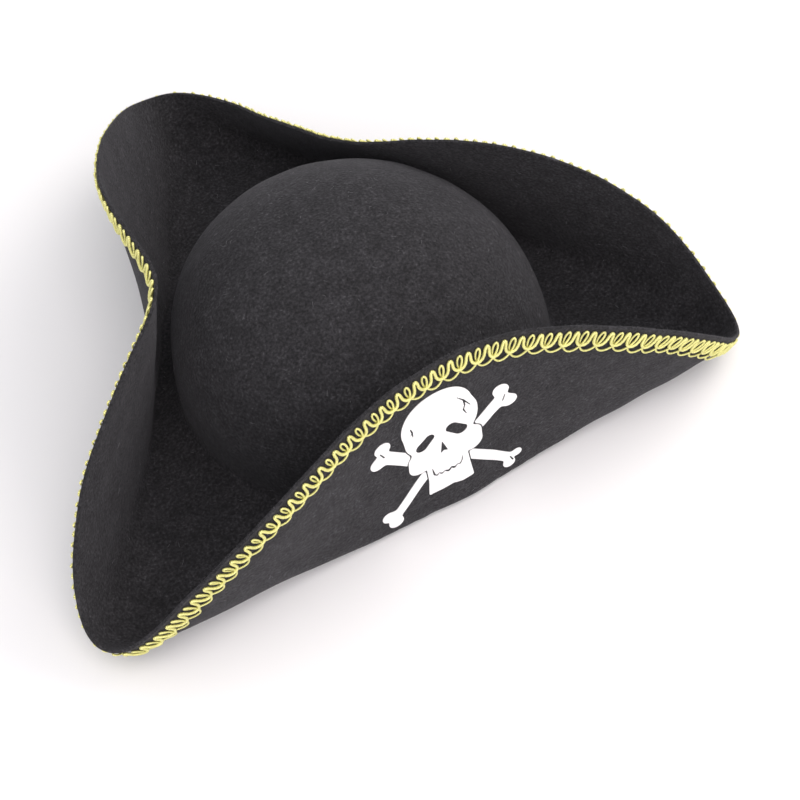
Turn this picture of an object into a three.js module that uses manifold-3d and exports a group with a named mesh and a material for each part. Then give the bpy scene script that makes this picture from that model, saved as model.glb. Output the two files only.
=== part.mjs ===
// Felt pirate hat: a three-cornered hat with a domed crown and a round-cut brim turned up in
// three cocks, gold scroll braid under the cut edge, a white skull and crossed bones on the
// front cock, and a ribbon sweatband sewn into the crown.
// Millimetres and degrees, +Z up, the front cock faces -Y. All shapes are worked out about the
// crown's own axis, then the whole hat is set with the middle of its footprint at the origin.
import * as THREE from 'three';
import { mergeVertices } from 'three/addons/utils/BufferGeometryUtils.js';
import Module from 'manifold-3d';

// ---- felt ----
const FELT = 1.6; // thickness
const CROWN_HALF_WIDTH = 96.7; // along X at the head opening, to the middle of the felt
const CROWN_HALF_DEPTH = 94.9; // along Y
const CROWN_HEIGHT = 99.3; // above the level where crown and brim meet
const CROWN_PLAN_POWER = 2.2; // 2 is an ellipse, more is squarer shouldered
const CROWN_RISE_POWER = 2.57;
const CROWN_SHIFT = 7.2; // the head opening stands this far along X from under the crown's top
const JOIN_HEIGHT = 7.4; // crown and brim meet this far above the folds
const JOIN_ROUND = 7; // rounding between crown and brim
const FOLD_ROUND = 5.5; // rounding along the folds
const CORNER_ROUND = 31; // what the corners, which are open spouts, add to it
const FOLD_CLEARANCE = 5; // least distance of a fold from the crown
const LEAST_RIM = 30; // keeps a side's pull finite where it faces away
const JOIN_SHARE = 0.35; // most that a rounding takes of the straight lengths beside it
const ROUND_SHARE = 0.9;
const BRIM_RADIUS = 208.7; // of the flat brim as cut
const BRIM_CENTRE_X = -4.9; // of that circle, from the crown's axis
const BRIM_CENTRE_Y = -2.5;
const FOLD_SHARPNESS = 4.9; // powers that blend the three sides into one fold and one rim
const RIM_SHARPNESS = 4;

// The three turned-up sides, by the direction each faces. fold is the distance of the fold from
// the crown's axis and bow its change towards the corners, lean how far the rim stands out from
// the fold, and rise the share of the felt beyond the fold that becomes height. Lean and rise
// are [middle, skew, ends, twist] along the side.
const SIDES = [
  {
    facing: -89.2,
    fold: 98.6,
    bow: 1.8,
    lean: [-2.7, -2.6, -9.4, 23],
    rise: [1.062, 0.005, -0.1, 0],
  },
  {
    facing: 31.3,
    fold: 113.4,
    bow: 2.8,
    lean: [-25.7, -19, 1.1, 20.2],
    rise: [0.985, -0.231, -0.09, 0],
  },
  {
    facing: 147.3,
    fold: 102.2,
    bow: 4.7,
    lean: [0.1, -71.5, 1.8, 104],
    rise: [1.029, 0.046, -0.039, 0],
  },
];
// The three corners: direction, how far the tip reaches beyond the blend of its two rims, how
// high it lifts, and the half angle over which it fades.
const CORNERS = [
  { at: 210.6, reach: 49.8, lift: 17.4, fade: 24.3 },
  { at: 336, reach: 33, lift: 18.1, fade: 26.5 },
  { at: 89.8, reach: 36.5, lift: 31.9, fade: 12.6 },
];

// ---- trim ----
const GAP = 0.3; // clearance between pieces that touch
const BRAID_WIDTH = 14.5;
const BRAID_THICK = 1.4;
const BRAID_FROM_EDGE = 1; // bare felt between the braid and the cut edge
const FILM_THICK = 0.6; // white film of the emblem
const EMBLEM_X = -1.3;
const EMBLEM_Z = 54; // middle of the emblem above the folds
const EMBLEM_TILT = 5.5;
const EMBLEM_DEPTH = 60; // of the prisms that cut it, well through the cock
const FILM_FROM = 230; // directions between which the film's skin is made
const FILM_TO = 306;
const BAND_THICK = 1; // ribbon sweatband
const THREAD_RADIUS = 0.4;
const STITCH_LOW = 0.08; // rows of the zigzag stitch, as shares of the ribbon's width
const STITCH_HIGH = 0.2;
const THREAD_START = 100; // direction of the thread's two ends

// ---- emblem, in its own plane with the middle of the skull's face at the origin ----
const MOUTH_HALF = 0.55;
const CRACK_HALF = 0.35;
const DASH_HALF = 0.4;
const BONE_GAP = 0.7; // bare felt between a bone and the skull
// Ragged mouth, from its left corner down, across and up.
const MOUTH = [
  [-8.7, -12.6],
  [-8.3, -18],
  [-7.2, -19.6],
  [-5.9, -18.2],
  [-4.4, -19.8],
  [-2.7, -18.6],
  [-0.9, -20],
  [0.8, -18.7],
  [2.4, -20],
  [4, -18.8],
  [5.7, -19.8],
  [7, -17.8],
  [7.6, -14.8],
];
const RIGHT_CRACK = [[11.2, 33], [14.4, 28.2], [17.8, 20.4]];
const RIGHT_BRANCH = [[14.4, 28.2], [14.6, 23.4], [13.5, 21], [14.6, 16.2]];
const LEFT_CRACK = [[-14.8, 29], [-14.3, 25.8], [-14.5, 22]];
const CRACKS = [RIGHT_CRACK, RIGHT_BRANCH, LEFT_CRACK];
// The four bone ends: ends of the shaft, knobs with their radii, and the cut between the knobs.
const BONES = [
  {
    name: 'bone_upper_left',
    shaft: [[-18, 5], [-31.2, 20.6]],
    halfWidth: 4.1,
    knobs: [[-30.9, 27.8, 4.4], [-34.7, 18.2, 4.4]],
    dash: [[-32.6, 24.8], [-30.9, 20.4]],
  },
  {
    name: 'bone_upper_right',
    shaft: [[18, 1], [34, 10.5]],
    halfWidth: 4.3,
    knobs: [[34.4, 17.4, 4.3], [37.6, 6.6, 4.3]],
    dash: [[36.1, 13], [34.3, 8.7]],
  },
  {
    name: 'bone_lower_right',
    shaft: [[9.6, -14.5], [30.7, -38.8]],
    halfWidth: 3.1,
    knobs: [[36.2, -39, 2.8], [31.2, -44.6, 3.4]],
    dash: [[32.3, -39.9], [33.5, -43.8]],
  },
  {
    name: 'bone_lower_left',
    shaft: [[-10.2, -11.8], [-31.8, -32.4]],
    halfWidth: 3.1,
    knobs: [[-36.4, -31.3, 3.9], [-33.6, -38.4, 4.1]],
    dash: null,
  },
];

// ---- mesh ----
const STATIONS = 72; // round the hat
const CROWN_ROWS = 8;
const JOIN_ROWS = 3;
const FOLD_ROWS = 5;
const COCK_ROWS = 3;
const FINE_STEPS = 24; // of the fold's rounding, before the rows are set along it
const FINE_TURN = 720; // directions in which the rim's length is measured
const BAND_SHARE = 0.5; // how far the ribbon goes up the higher of its two rows of the crown
const ROUND_STEPS = 7; // half the straight stretches of a round in the emblem
const SLIT_STEPS = 2;
const MERGE = 1e-4;

const rad = THREE.MathUtils.degToRad;
const cubic = (c, s) => c[0] + c[1] * s + c[2] * s ** 2 + c[3] * s ** 3;

function crownRadius(angle) {
  const c = CROWN_HALF_DEPTH * Math.cos(angle);
  const s = CROWN_HALF_WIDTH * Math.sin(angle);
  return (CROWN_HALF_WIDTH * CROWN_HALF_DEPTH) / Math.hypot(c, s);
}

// Distance from the axis to the head opening, which is shifted along X.
function openingRadius(angle) {
  return crownRadius(angle) + CROWN_SHIFT * Math.cos(angle);
}

// Point of the crown's profile: rise runs from 0 at the head opening to 90 degrees at the top.
function crownPoint(angle, rise) {
  const upright = crownRadius(angle) * Math.max(Math.cos(rise), 0) ** (2 / CROWN_PLAN_POWER);
  const r = upright + CROWN_SHIFT * Math.cos(angle) * (1 - Math.sin(rise)) ** 2;
  const z = JOIN_HEIGHT + CROWN_HEIGHT * Math.sin(rise) ** (2 / CROWN_RISE_POWER);
  return new THREE.Vector2(r, z);
}

// What one side asks for in this direction: its pull on fold and rim.
function sidePull(side, angle) {
  const facing = rad(side.facing);
  const along = Math.sin(angle - facing);
  const toward = Math.max(Math.cos(angle - facing), 1e-3);
  const fold = side.fold + side.bow * along ** 2;
  const rim = Math.max(fold + cubic(side.lean, along), LEAST_RIM);
  return {
    ...side,
    facing,
    along,
    fold,
    foldPull: (toward / fold) ** FOLD_SHARPNESS,
    rimPull: (toward / rim) ** RIM_SHARPNESS,
  };
}

// 1 at a corner's own direction, fading to 0 on both sides of it.
function nearness(corner, angle) {
  const turn = angle - rad(corner.at);
  const away = Math.atan2(Math.sin(turn), Math.cos(turn));
  return Math.exp(-((away / rad(corner.fade)) ** 2));
}

// Radius of the fold, and radius and height of the cut edge, in one direction from the axis.
function brimAt(angle) {
  const sides = SIDES.map((side) => sidePull(side, angle));
  const foldSum = sides.reduce((sum, s) => sum + s.foldPull, 0);
  const rimSum = sides.reduce((sum, s) => sum + s.rimPull, 0);
  const spout = CORNERS.reduce((sum, c) => sum + nearness(c, angle), 0);
  const lift = CORNERS.reduce((sum, c) => sum + c.lift * nearness(c, angle), 0);
  const reach = CORNERS.reduce((sum, c) => sum + c.reach * nearness(c, angle), 0);
  const rim = rimSum ** (-1 / RIM_SHARPNESS) + reach;
  let height = 0;
  for (const s of sides) {
    const out = BRIM_CENTRE_X * Math.cos(s.facing) + BRIM_CENTRE_Y * Math.sin(s.facing);
    const across = BRIM_CENTRE_Y * Math.cos(s.facing) - BRIM_CENTRE_X * Math.sin(s.facing);
    const beyond = out + Math.sqrt(BRIM_RADIUS ** 2 - (rim * s.along - across) ** 2) - s.fold;
    height += (s.foldPull / foldSum) * Math.max(beyond, 0) * cubic(s.rise, s.along);
  }
  const fold = Math.max(foldSum ** (-1 / FOLD_SHARPNESS), openingRadius(angle) + FOLD_CLEARANCE);
  return { fold, rim, height: Math.hypot(height, lift), spout: Math.min(spout, 1) };
}

function bend(from, corner, to, share) {
  const a = from.clone().lerp(corner, share);
  const b = corner.clone().lerp(to, share);
  return a.lerp(b, share);
}

// Point at a distance along a line of points, where run holds the distance to each of them.
function pointAlong(line, run, distance) {
  let k = 0;
  while (k + 2 < line.length && run[k + 1] < distance) k += 1;
  return line[k].clone().lerp(line[k + 1], (distance - run[k]) / (run[k + 1] - run[k]));
}

// Middle line of the brim from its join with the crown to the cut edge, as evenly set rows:
// the fold's rounding, the plain cock, then the braid's lower edge, middle and upper edge.
function brimLine(angle, join, joinEnd) {
  const { fold, rim, height, spout } = brimAt(angle);
  const foldPoint = new THREE.Vector2(fold, 0);
  const edge = new THREE.Vector2(rim, height);
  const floorLength = join.distanceTo(foldPoint);
  const cockLength = foldPoint.distanceTo(edge);
  const floorRound = floorLength - joinEnd.distanceTo(join);
  const most = ROUND_SHARE * Math.min(floorRound, cockLength);
  const round = Math.min(FOLD_ROUND + CORNER_ROUND * spout, most);
  const foldStart = foldPoint.clone().lerp(join, round / floorLength);
  const foldEnd = foldPoint.clone().lerp(edge, round / cockLength);
  const line = [joinEnd];
  for (let i = 0; i <= FINE_STEPS; i += 1) {
    line.push(bend(foldStart, foldPoint, foldEnd, i / FINE_STEPS));
  }
  line.push(edge);
  const run = [0];
  for (let k = 1; k < line.length; k += 1) {
    run.push(run[k - 1] + line[k].distanceTo(line[k - 1]));
  }
  const total = run[run.length - 1];
  const braidLow = total - BRAID_FROM_EDGE - BRAID_WIDTH;
  const roundEnd = Math.min(run[run.length - 2], braidLow - COCK_ROWS);
  const at = [0];
  for (let i = 0; i < FOLD_ROWS; i += 1) {
    at.push(run[1] + ((roundEnd - run[1]) * i) / FOLD_ROWS);
  }
  for (let i = 0; i < COCK_ROWS; i += 1) {
    at.push(roundEnd + ((braidLow - roundEnd) * i) / COCK_ROWS);
  }
  at.push(braidLow, braidLow + BRAID_WIDTH / 2, braidLow + BRAID_WIDTH, total);
  return at.map((distance) => pointAlong(line, run, distance));
}

// Middle line of the felt in one direction, from the top of the crown out to the cut edge.
function profile(angle) {
  const joinRise = Math.asin((JOIN_ROUND / CROWN_HEIGHT) ** (CROWN_RISE_POWER / 2));
  const join = new THREE.Vector2(openingRadius(angle), JOIN_HEIGHT);
  const toFold = new THREE.Vector2(brimAt(angle).fold, 0).sub(join);
  const joinLength = Math.min(JOIN_ROUND, JOIN_SHARE * toFold.length());
  const joinEnd = join.clone().addScaledVector(toFold.normalize(), joinLength);
  const wall = crownPoint(angle, joinRise);
  const line = [];
  for (let i = 0; i < CROWN_ROWS; i += 1) {
    const t = 1 - i / CROWN_ROWS;
    line.push(crownPoint(angle, joinRise + (Math.PI / 2 - joinRise) * t));
  }
  for (let i = 0; i < JOIN_ROWS; i += 1) line.push(bend(wall, join, joinEnd, i / JOIN_ROWS));
  return line.concat(brimLine(angle, join, joinEnd));
}

// Directions of the stations: closer together where the rim runs far out, at the corners.
function stationAngles() {
  const rimPoint = (k) => {
    const angle = (2 * Math.PI * k) / FINE_TURN;
    const { rim, height } = brimAt(angle);
    return new THREE.Vector3(rim * Math.cos(angle), rim * Math.sin(angle), height);
  };
  const run = [0];
  for (let k = 1; k <= FINE_TURN; k += 1) {
    run.push(run[k - 1] + rimPoint(k).distanceTo(rimPoint(k - 1)));
  }
  const angles = [];
  let k = 0;
  for (let i = 0; i < STATIONS; i += 1) {
    const blend = (q) => (q / FINE_TURN + run[q] / run[FINE_TURN]) / 2;
    while (blend(k + 1) <= i / STATIONS) k += 1;
    const part = (i / STATIONS - blend(k)) / (blend(k + 1) - blend(k));
    angles.push((2 * Math.PI * (k + part)) / FINE_TURN);
  }
  return angles;
}

const ANGLES = stationAngles();
const LINES = ANGLES.map(profile);
const LAST = LINES[0].length - 1;
const wrap = (i) => (i + STATIONS) % STATIONS;

function middlePoint(i, j) {
  const p = LINES[wrap(i)][j];
  const angle = ANGLES[wrap(i)];
  return new THREE.Vector3(p.x * Math.cos(angle), p.x * Math.sin(angle), p.y);
}

// Normal of the felt on the side that is outside the crown and inside the turned-up brim.
function normalAt(i, j) {
  if (j === 0) return new THREE.Vector3(0, 0, 1);
  const round = middlePoint(i + 1, j).sub(middlePoint(i - 1, j));
  const down = middlePoint(i, Math.min(j + 1, LAST)).sub(middlePoint(i, j - 1));
  return down.cross(round).normalize();
}

const NORMALS = ANGLES.map((_, i) => LINES[i].map((_, j) => normalAt(i, j)));

// Point of the grid moved off the middle of the felt.
function offFelt(i, j, distance) {
  return middlePoint(i, j).addScaledVector(NORMALS[wrap(i)][j], distance);
}

// Closed solid between two faces given as [station][row] grids of points.
function gridSolid(face, back, closed) {
  const points = [];
  const triangle = (a, b, c) => {
    const least = Math.min(a.distanceTo(b), b.distanceTo(c), c.distanceTo(a));
    if (least > MERGE) points.push(a, b, c);
  };
  const quad = (a, b, c, d) => {
    triangle(a, b, c);
    triangle(a, c, d);
  };
  const n = face.length;
  const rows = face[0].length;
  const last = closed ? n : n - 1;
  for (let i = 0; i < last; i += 1) {
    const k = (i + 1) % n;
    for (let j = 0; j + 1 < rows; j += 1) {
      quad(face[i][j], face[i][j + 1], face[k][j + 1], face[k][j]);
      quad(back[i][j], back[k][j], back[k][j + 1], back[i][j + 1]);
    }
    quad(face[i][0], face[k][0], back[k][0], back[i][0]);
    quad(face[i][rows - 1], back[i][rows - 1], back[k][rows - 1], face[k][rows - 1]);
  }
  const ends = closed ? [] : [[0, false], [n - 1, true]];
  for (const [i, flip] of ends) {
    for (let j = 0; j + 1 < rows; j += 1) {
      const side = [face[i][j], back[i][j], back[i][j + 1], face[i][j + 1]];
      if (flip) side.reverse();
      quad(...side);
    }
  }
  const geometry = new THREE.BufferGeometry().setFromPoints(points);
  return facingOut(mergeVertices(geometry, MERGE));
}

function volume(geometry) {
  const p = geometry.getAttribute('position');
  const index = geometry.getIndex();
  const corner = [new THREE.Vector3(), new THREE.Vector3(), new THREE.Vector3()];
  let sum = 0;
  for (let i = 0; i < index.count; i += 3) {
    corner.forEach((v, k) => v.fromBufferAttribute(p, index.getX(i + k)));
    sum += corner[0].dot(corner[1].clone().cross(corner[2]));
  }
  return sum / 6;
}

function facingOut(geometry) {
  if (volume(geometry) < 0) {
    geometry.setIndex(Array.from(geometry.getIndex().array).reverse());
  }
  return geometry;
}

function rowsOf(first, last, distance, from = 0, to = STATIONS - 1) {
  const grid = [];
  for (let i = from; i <= to; i += 1) {
    const row = [];
    for (let j = first; j <= last; j += 1) row.push(offFelt(i, j, distance));
    grid.push(row);
  }
  return grid;
}

// Closed skin round the whole hat over some rows of the felt, between two distances from it.
function skin(first, last, near, far) {
  return gridSolid(rowsOf(first, last, near), rowsOf(first, last, far), true);
}

function feltBody() {
  return skin(0, LAST, FELT / 2, -FELT / 2);
}

const BRAID_LOW = LAST - 3; // rows of the felt that the braid covers
const BRAID_TOP = LAST - 1;
const FILM_LOW = CROWN_ROWS + JOIN_ROWS + 3; // first row of the felt that film can cover

// The braid lies on the outer face of the cocks, between its own two rows of the felt.
function braid() {
  const near = -FELT / 2 - GAP;
  return skin(BRAID_LOW, BRAID_TOP, near, near - BRAID_THICK);
}

const BAND_LOW = CROWN_ROWS; // lowest row of the crown, where the ribbon starts
const BAND_NEAR = -FELT / 2 - GAP;

// The ribbon inside the crown: a whole row up from the lowest and part of the next.
function sweatband() {
  const rows = (distance) =>
    ANGLES.map((_, i) => {
      const low = offFelt(i, BAND_LOW, distance);
      const middle = offFelt(i, BAND_LOW - 1, distance);
      const high = middle.clone().lerp(offFelt(i, BAND_LOW - 2, distance), BAND_SHARE);
      return [high, middle, low];
    });
  return gridSolid(rows(BAND_NEAR), rows(BAND_NEAR - BAND_THICK), true);
}

// One thread in a zigzag over the ribbon's lower edge, with its two ends left apart at the back.
function seamThread() {
  const off = BAND_NEAR - BAND_THICK - GAP - THREAD_RADIUS;
  const start = ANGLES.findIndex((angle) => angle > rad(THREAD_START));
  const inner = [];
  const outer = [];
  const centre = (i, share) => {
    const low = offFelt(i, BAND_LOW, off);
    return low.lerp(offFelt(i, BAND_LOW - 1, off), share);
  };
  const path = [];
  for (let i = 0; i < STATIONS - 1; i += 1) {
    path.push(centre(start + i, STITCH_LOW));
    path.push(centre(start + i, STITCH_HIGH).lerp(centre(start + i + 1, STITCH_HIGH), 0.5));
  }
  path.forEach((p, k) => {
    const ahead = path[Math.min(k + 1, path.length - 1)].clone().sub(path[Math.max(k - 1, 0)]);
    const out = NORMALS[wrap(start + Math.floor(k / 2))][BAND_LOW].clone();
    const up = ahead.normalize().cross(out).normalize();
    const arm = (u, v) => p.clone().addScaledVector(out, u).addScaledVector(up, v);
    outer.push([arm(THREAD_RADIUS, 0), arm(0, THREAD_RADIUS)]);
    inner.push([arm(0, -THREAD_RADIUS), arm(-THREAD_RADIUS, 0)]);
  });
  return gridSolid(outer, inner, false);
}

// ---- emblem: plane figures pushed through a thin skin of film that follows the front cock ----
const wasm = await Module();
wasm.setup();

function toManifold(geometry) {
  const bare = geometry.clone();
  bare.deleteAttribute('normal');
  bare.deleteAttribute('uv');
  const merged = mergeVertices(bare, MERGE);
  const vertProperties = new Float32Array(merged.getAttribute('position').array);
  const triVerts = new Uint32Array(merged.getIndex().array);
  return new wasm.Manifold(new wasm.Mesh({ numProp: 3, vertProperties, triVerts }));
}

function toGeometry(solid) {
  const mesh = solid.getMesh();
  const geometry = new THREE.BufferGeometry();
  geometry.setAttribute('position', new THREE.BufferAttribute(mesh.vertProperties, 3));
  geometry.setIndex(new THREE.BufferAttribute(mesh.triVerts, 1));
  return geometry;
}

// Skin of film over the outer face of the front cock, from past its fold up to the braid.
function frontFilm() {
  const near = -FELT / 2 - GAP;
  const from = ANGLES.findIndex((angle) => angle > rad(FILM_FROM));
  const to = ANGLES.findIndex((angle) => angle > rad(FILM_TO));
  const rows = (distance) => rowsOf(FILM_LOW, BRAID_LOW, distance, from, to);
  return toManifold(gridSolid(rows(near), rows(near - FILM_THICK), false));
}

// A plane figure with y up, as a prism along the front's facing through the front cock.
function prism(shape, curveSegments = ROUND_STEPS) {
  const geometry = new THREE.ExtrudeGeometry(shape, {
    depth: EMBLEM_DEPTH,
    bevelEnabled: false,
    curveSegments,
  });
  geometry.rotateZ(rad(EMBLEM_TILT));
  geometry.rotateX(Math.PI / 2);
  geometry.translate(EMBLEM_X, -SIDES[0].fold + EMBLEM_DEPTH / 2, EMBLEM_Z);
  return toManifold(geometry);
}

function disc([x, y, radius]) {
  const shape = new THREE.Shape();
  shape.absarc(x, y, radius, 0, 2 * Math.PI);
  return prism(shape);
}

function polygon(corners) {
  return prism(new THREE.Shape(corners.map(([x, y]) => new THREE.Vector2(x, y))));
}

// Two discs and the straight sides that touch both.
function taper([ax, ay], [bx, by], fromRadius, toRadius, steps) {
  const length = Math.hypot(bx - ax, by - ay);
  const heading = Math.atan2(by - ay, bx - ax);
  const touch = Math.acos((fromRadius - toRadius) / length);
  const shape = new THREE.Shape();
  shape.absarc(bx, by, toRadius, heading - touch, heading + touch);
  shape.absarc(ax, ay, fromRadius, heading + touch, heading + 2 * Math.PI - touch);
  return prism(shape, steps);
}

function union(solids) {
  return solids.reduce((sum, solid) => sum.add(solid));
}

// A thin cut along a line of points.
function slit(points, halfWidth) {
  const stretch = (a, k) => taper(a, points[k + 1], halfWidth, halfWidth, SLIT_STEPS);
  return union(points.slice(0, -1).map(stretch));
}

// Outline of the skull: cranium, two cheekbones and a squared jaw, grown all round by an edge.
function skullOutline(edge) {
  const jaw = polygon([
    [10.7 + edge, 0],
    [11 + edge, -22],
    [11.4 + edge, -34.6 - edge],
    [5, -34.4 - edge],
    [0, -32.4 - edge],
    [-6, -33.4 - edge],
    [-13.2 - edge, -33.6 - edge],
    [-11.8 - edge, -22],
    [-11.4 - edge, 0],
  ]);
  return union([
    taper([-0.6, 26.2], [0.6, 18.5], 19.6 + edge, 20.5 + edge, 2 * ROUND_STEPS),
    taper([-13.2, 1], [-14, -4.2], 6.9 + edge, 6.6 + edge),
    taper([14, -2], [14, -8], 6.6 + edge, 6.2 + edge),
    jaw,
  ]);
}

function skull() {
  const nose = polygon([
    [-0.7, 5.5],
    [-2.7, -3.2],
    [-0.7, -2],
    [1.3, -3.7],
  ]);
  const cuts = [
    taper([-6.7, 13.2], [-11.2, 9.9], 2.9, 3.5),
    taper([5.6, 12.6], [10.2, 6.6], 3.2, 3.4),
    nose,
    slit(MOUTH, MOUTH_HALF),
    ...CRACKS.map((points) => slit(points, CRACK_HALF)),
  ];
  return skullOutline(0).subtract(union(cuts));
}

// A bone end: a shaft that comes out from behind the skull, two knobs and a cut between them.
function bone({ shaft, halfWidth, knobs, dash }) {
  const whole = union([taper(...shaft, halfWidth, halfWidth), ...knobs.map(disc)]);
  const clear = whole.subtract(skullOutline(BONE_GAP));
  return dash ? clear.subtract(slit(dash, DASH_HALF)) : clear;
}

// What a prism leaves of the skin of film.
function onFilm(prisms) {
  return toGeometry(frontFilm().intersect(prisms));
}

// ---- materials and assembly ----
function look(color, roughness, metalness = 0) {
  return new THREE.MeshStandardMaterial({ color, roughness, metalness });
}

const hat = new THREE.Group();
hat.name = 'pirate_hat';

function addPiece(name, geometry, material) {
  const mesh = new THREE.Mesh(geometry, material);
  mesh.name = name;
  hat.add(mesh);
}

addPiece('felt_body', feltBody(), look(0x2b2a2c, 0.95));
addPiece('gold_braid', braid(), look(0xd8c455, 0.35, 0.8));
addPiece('skull', onFilm(skull()), look(0xf6f6f4, 0.55));
for (const item of BONES) {
  addPiece(item.name, onFilm(bone(item)), look(0xf6f6f4, 0.55));
}
addPiece('sweatband', sweatband(), look(0x1d1c1e, 0.8));
addPiece('sweatband_thread', seamThread(), look(0x242326, 0.7));

// The middle of the footprint, at the level of the lowest fold, becomes the origin.
const box = new THREE.Box3().setFromObject(hat);
const middle = box.getCenter(new THREE.Vector3());
hat.position.set(-middle.x, -middle.y, -box.min.z);

export default hat;
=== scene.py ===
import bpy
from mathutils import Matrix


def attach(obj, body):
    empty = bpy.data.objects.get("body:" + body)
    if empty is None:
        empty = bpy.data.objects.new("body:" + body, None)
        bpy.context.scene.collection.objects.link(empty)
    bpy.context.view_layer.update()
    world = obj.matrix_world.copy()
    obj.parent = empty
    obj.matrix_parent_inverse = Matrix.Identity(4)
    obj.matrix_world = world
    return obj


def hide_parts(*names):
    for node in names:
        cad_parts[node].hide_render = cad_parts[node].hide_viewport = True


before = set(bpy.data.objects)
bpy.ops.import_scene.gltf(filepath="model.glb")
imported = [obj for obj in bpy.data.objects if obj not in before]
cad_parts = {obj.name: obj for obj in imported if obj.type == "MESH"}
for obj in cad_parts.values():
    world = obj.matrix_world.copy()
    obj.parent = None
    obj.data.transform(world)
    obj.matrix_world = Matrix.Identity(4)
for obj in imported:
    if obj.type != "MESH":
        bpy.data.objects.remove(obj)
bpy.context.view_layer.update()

import math
from collections import namedtuple

import bpy
import numpy as np
from bpy.props import FloatProperty, FloatVectorProperty, IntProperty, PointerProperty
from mathutils import Matrix, Vector
from mathutils.bvhtree import BVHTree

bl_info = {
    "name": "Felt Pirate Hat",
    "version": (1, 0, 0),
    "blender": (4, 5, 0),
    "location": "View3D > Sidebar > Pirate Hat",
    "description": "Builds a three-cornered felt hat with scroll braid, an emblem and a sweatband",
    "category": "Object",
}

MM = 0.001  # the shapes below are worked out in millimetres about the crown's own axis
CROWN_AXIS = np.array([6.348, -38.819, -0.172])  # that axis, at fold level, in the row frame

# ---- shape of the moulded felt, as in the CAD source ----
Side = namedtuple("Side", "facing fold bow lean rise")
Corner = namedtuple("Corner", "at reach lift fade")
SIDES = (
    Side(-89.2, 98.6, 1.8, (-2.7, -2.6, -9.4, 23), (1.062, 0.005, -0.1, 0)),
    Side(31.3, 113.4, 2.8, (-25.7, -19, 1.1, 20.2), (0.985, -0.231, -0.09, 0)),
    Side(147.3, 102.2, 4.7, (0.1, -71.5, 1.8, 104), (1.029, 0.046, -0.039, 0)),
)
CORNERS = (
    Corner(210.6, 49.8, 17.4, 24.3),
    Corner(336, 33, 18.1, 26.5),
    Corner(89.8, 36.5, 31.9, 12.6),
)
CROWN_PLAN_POWER = 2.2
CROWN_RISE_POWER = 2.57
CROWN_SHIFT = 7.2  # the head opening stands this far along X from under the crown's top
JOIN_HEIGHT = 7.4  # crown and brim meet this far above the folds
JOIN_ROUND = 7
FOLD_ROUND = 5.5
CORNER_ROUND = 31
BRIM_CENTRE = (-4.9, -2.5)
FOLD_SHARPNESS = 4.9
RIM_SHARPNESS = 4
LEAST_RIM = 30
FOLD_CLEAR = 5  # the fold is at least this far outside the crown
JOIN_SHARE = 0.35  # most of the floor that the join's rounding takes
ROUND_SHARE = 0.9  # most of floor and cock that the fold's rounding takes

# ---- mesh ----
FINE_TURN = 2881  # directions from which the stations are spaced
STATIONS = 640
CROWN_ROWS = 40
JOIN_ROWS = 8
BEND_STEPS = 24
BRIM_ROWS = 76
EDGE_ROWS = 7
WAVES = 9  # waves that are summed for one kind of unevenness

LONG_SWELL = 70  # swells of the felt, from crest to crest
SHORT_SWELL = 26
EDGE_BULGE = 0.5  # how far the middle of the cut edge stands past its corners


def crown_radius(angles):
    felt = bpy.context.scene.hat_felt
    wide, deep = felt.crown_half_width / MM, felt.crown_half_depth / MM
    return wide * deep / np.hypot(deep * np.cos(angles), wide * np.sin(angles))


def opening_radius(angles):
    """Distance from the axis to the head opening, which is shifted along X."""
    return crown_radius(angles) + CROWN_SHIFT * np.cos(angles)


def crown_point(angles, rise):
    """Radius and height on the crown; rise runs from 0 at the opening to a quarter turn on top."""
    height = bpy.context.scene.hat_felt.crown_height / MM
    r = crown_radius(angles) * max(math.cos(rise), 0) ** (2 / CROWN_PLAN_POWER)
    r = r + CROWN_SHIFT * np.cos(angles) * (1 - math.sin(rise)) ** 2
    z = JOIN_HEIGHT + height * math.sin(rise) ** (2 / CROWN_RISE_POWER)
    return np.stack([r, np.full_like(r, z)], -1)


def polynomial(coefficients, x):
    return sum(c * x**k for k, c in enumerate(coefficients))


def brim_at(angles):
    """Fold radius, rim radius, rim height and how much of a spout the brim is there."""
    radius = bpy.context.scene.hat_felt.brim_radius / MM
    pulls, folds, alongs, rim_sum = [], [], [], 0
    for side in SIDES:
        turn = angles - math.radians(side.facing)
        along, toward = np.sin(turn), np.maximum(np.cos(turn), 1e-3)
        fold = side.fold + side.bow * along**2
        rim = np.maximum(fold + polynomial(side.lean, along), LEAST_RIM)
        pulls.append((toward / fold) ** FOLD_SHARPNESS)
        folds.append(fold)
        alongs.append(along)
        rim_sum = rim_sum + (toward / rim) ** RIM_SHARPNESS
    near = []
    for corner in CORNERS:
        turn = angles - math.radians(corner.at)
        away = np.arctan2(np.sin(turn), np.cos(turn))
        near.append(np.exp(-((away / math.radians(corner.fade)) ** 2)))
    rim = rim_sum ** (-1 / RIM_SHARPNESS) + sum(c.reach * w for c, w in zip(CORNERS, near))
    lift = sum(c.lift * w for c, w in zip(CORNERS, near))
    height = 0
    for side, pull, fold, along in zip(SIDES, pulls, folds, alongs):
        c, s = math.cos(math.radians(side.facing)), math.sin(math.radians(side.facing))
        out = BRIM_CENTRE[0] * c + BRIM_CENTRE[1] * s
        across = BRIM_CENTRE[1] * c - BRIM_CENTRE[0] * s
        beyond = out + np.sqrt(radius**2 - (rim * along - across) ** 2) - fold
        height = height + pull / sum(pulls) * np.maximum(beyond, 0) * polynomial(side.rise, along)
    fold = np.maximum(sum(pulls) ** (-1 / FOLD_SHARPNESS), opening_radius(angles) + FOLD_CLEAR)
    return fold, rim, np.hypot(height, lift), np.minimum(sum(near), 1)


def bend(start, corner, end, share):
    a = start + (corner - start) * share
    b = corner + (end - corner) * share
    return a + (b - a) * share


def lengths(vectors):
    return np.linalg.norm(vectors, axis=-1, keepdims=True)


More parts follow.
